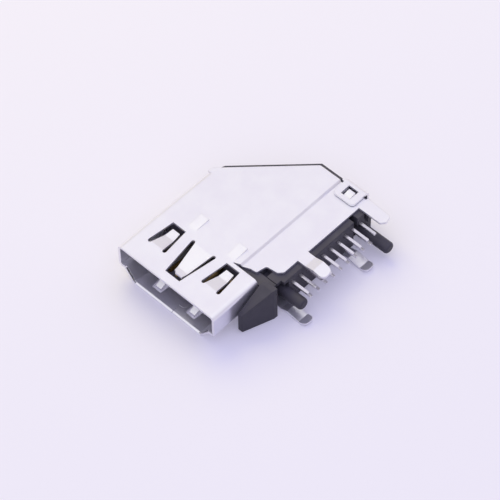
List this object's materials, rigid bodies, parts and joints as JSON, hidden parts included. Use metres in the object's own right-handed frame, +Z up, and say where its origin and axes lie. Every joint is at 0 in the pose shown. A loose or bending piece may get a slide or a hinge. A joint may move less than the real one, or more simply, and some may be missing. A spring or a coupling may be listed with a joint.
{
  "type": "hdmi socket",
  "caption": "Through-hole socket for a digital video plug that lies on its side beside a board, with a shielded D-shaped mouth, contact tongue, side legs, tails and board pegs.",
  "frame": {"origin": "under the middle of the part's box, on the plane of its bottom cover", "axes": "+X toward the circuit board that the legs, tails and pegs go into, +Y from the mouth to the back, +Z up through the wide top sheet"},
  "size_m": [0.0206, 0.0242, 0.0054],
  "materials": {
    "tinned_sheet": "bright satin tin plate",
    "black_plastic": "fine matt moulding",
    "contact_strip": "tin-plated tails, gold-plated contact faces"
  },
  "bodies": {
    "root": {"front_shell": "tinned_sheet", "rear_shield": "tinned_sheet", "housing": "black_plastic", "tail_guide": "black_plastic", "contact_a01": "contact_strip", "contact_a02": "contact_strip", "contact_a03": "contact_strip", "contact_a04": "contact_strip", "contact_a05": "contact_strip", "contact_a06": "contact_strip", "contact_a07": "contact_strip", "contact_a08": "contact_strip", "contact_a09": "contact_strip", "contact_a10": "contact_strip", "contact_b01": "contact_strip", "contact_b02": "contact_strip", "contact_b03": "contact_strip", "contact_b04": "contact_strip", "contact_b05": "contact_strip", "contact_b06": "contact_strip", "contact_b07": "contact_strip", "contact_b08": "contact_strip", "contact_b09": "contact_strip"}
  },
  "joints": []
}
